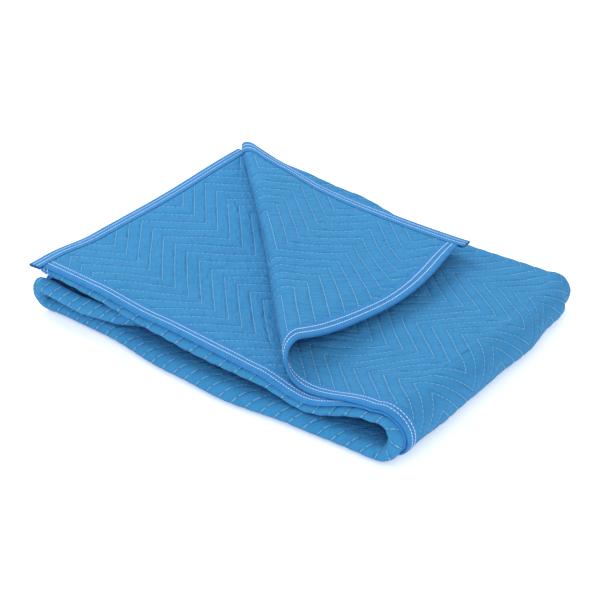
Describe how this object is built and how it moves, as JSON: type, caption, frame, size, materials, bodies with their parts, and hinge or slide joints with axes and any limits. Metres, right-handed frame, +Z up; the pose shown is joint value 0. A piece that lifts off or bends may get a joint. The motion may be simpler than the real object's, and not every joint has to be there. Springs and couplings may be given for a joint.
{
  "type": "moving blanket",
  "caption": "Quilted blue furniture moving blanket with sewn binding, folded into a flat stack with one corner of the top leaf turned back",
  "frame": {"origin": "middle of the folded blanket's footprint on the surface it rests on, at z = 0", "axes": "+X runs along the long side from the open left end to the front bend, +Y from the near side with the open edges to the far side, +Z up through the layers"},
  "size_m": [0.679, 0.5172, 0.1179],
  "materials": {
    "quilted_cloth": "soft matt woven cloth, quilted in zigzag lines",
    "binding_tape": "matt woven tape with two rows of white stitching"
  },
  "bodies": {
    "root": {"pad": "quilted_cloth", "binding_left": "binding_tape", "binding_flap": "binding_tape", "binding_near": "binding_tape", "binding_inner": "binding_tape"}
  },
  "joints": []
}
